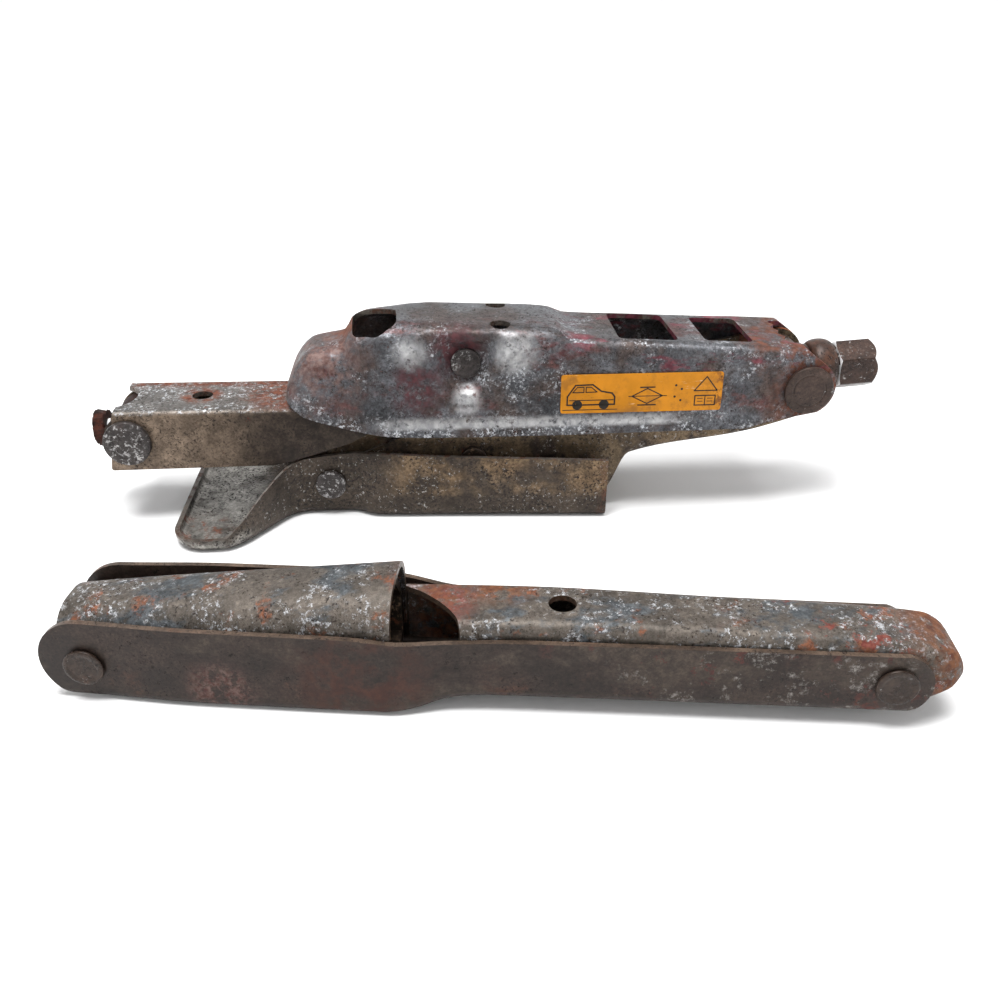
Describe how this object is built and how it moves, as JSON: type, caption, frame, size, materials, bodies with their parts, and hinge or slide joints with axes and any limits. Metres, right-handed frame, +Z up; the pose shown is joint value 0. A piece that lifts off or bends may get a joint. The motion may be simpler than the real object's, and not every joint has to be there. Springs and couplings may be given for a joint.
{
  "type": "scissor car jack",
  "caption": "Closed screw-driven scissor jack of pressed steel channels, with its folding three-link crank handle lying beside it.",
  "frame": {"origin": "on the ground under the foot hinge, on the sole of the foot", "axes": "+X along the closed screw towards its drive hex, +Y away from the crank handle, +Z up"},
  "size_m": [0.3697, 0.2346, 0.0936],
  "materials": {
    "foot_steel": "dark patina with dirt",
    "arm_steel": "dull plated sheet, dusty",
    "zinc_steel": "worn zinc plate with rust bloom",
    "rusty_steel": "rusty",
    "greasy_steel": "old grease",
    "label": "printed foil",
    "handle_steel": "rusty plated sheet"
  },
  "bodies": {
    "foot": {"base_foot": "foot_steel", "foot_hinge_rivet": "foot_steel"},
    "long_lower": {"lower_long_arm": "arm_steel", "lower_center_pin": "foot_steel"},
    "short_lower": {"lower_short_arm": "arm_steel"},
    "short_upper": {"upper_short_arm": "zinc_steel"},
    "shell": {"upper_long_arm": "zinc_steel", "upper_center_pin": "zinc_steel", "label_plate": "label"},
    "left_nut": {"trunnion_nut": "rusty_steel", "trunnion_nut_cap_near": "rusty_steel", "trunnion_nut_cap_far": "rusty_steel"},
    "right_block": {"thrust_trunnion": "rusty_steel", "thrust_trunnion_cap_near": "rusty_steel", "thrust_trunnion_cap_far": "rusty_steel", "thrust_washer": "rusty_steel"},
    "screw": {"screw_spindle": "greasy_steel", "thrust_collar": "rusty_steel", "drive_hex": "rusty_steel", "screw_end_stop": "rusty_steel"},
    "crank": {"crank_arm": "handle_steel", "socket_link_pin": "handle_steel", "grip_link_pin": "handle_steel"},
    "socket": {"socket_link": "handle_steel", "wrench_socket": "greasy_steel"},
    "grip": {"grip_link": "handle_steel"}
  },
  "joints": [
    {"name": "lift", "type": "hinge", "parent": "foot", "child": "long_lower", "pos_m": [0, 0, 0.0165], "axis": [0, -1, 0], "range_deg": [0, 50]},
    {"name": "shell_hinge", "type": "hinge", "parent": "long_lower", "child": "shell", "pos_m": [0.22055, 0, 0.06171], "axis": [0, -1, 0], "range_deg": [-100, 0]},
    {"name": "short_lower_hinge", "type": "hinge", "parent": "long_lower", "child": "short_lower", "pos_m": [0.06743, 0, 0.02769], "axis": [0, -1, 0], "range_deg": [-100, 0]},
    {"name": "short_upper_hinge", "type": "hinge", "parent": "short_lower", "child": "short_upper", "pos_m": [-0.0888, 0, 0.0416], "axis": [0, -1, 0], "range_deg": [0, 100]},
    {"name": "right_block_turn", "type": "hinge", "parent": "long_lower", "child": "right_block", "pos_m": [0.22055, 0, 0.06171], "axis": [0, -1, 0], "range_deg": [-50, 0]},
    {"name": "left_nut_turn", "type": "hinge", "parent": "short_lower", "child": "left_nut", "pos_m": [-0.0888, 0, 0.0416], "axis": [0, -1, 0], "range_deg": [0, 50]},
    {"name": "screw_spin", "type": "hinge", "parent": "right_block", "child": "screw", "pos_m": [0.22055, 0, 0.06171], "axis": [0.9979, 0, 0.0649], "continuous": true},
    {"name": "handle_lift_off", "type": "slide", "parent": "foot", "child": "crank", "axis": [0, 0, 1], "range_m": [0, 0.25]},
    {"name": "socket_fold", "type": "hinge", "parent": "crank", "child": "socket", "pos_m": [-0.0728, -0.1264, 0.015], "axis": [-0.1392, -0.9903, 0], "range_deg": [0, 174]},
    {"name": "grip_fold", "type": "hinge", "parent": "crank", "child": "grip", "pos_m": [0.20348, -0.16523, 0.0185], "axis": [0.1392, 0.9903, 0], "range_deg": [0, 178]}
  ],
  "couplings": [
    {"joint": "shell_hinge", "follows": "lift", "ratio": -2},
    {"joint": "short_lower_hinge", "follows": "lift", "ratio": -2},
    {"joint": "short_upper_hinge", "follows": "lift", "ratio": 2},
    {"joint": "right_block_turn", "follows": "lift", "ratio": -1},
    {"joint": "left_nut_turn", "follows": "lift", "ratio": 1}
  ]
}
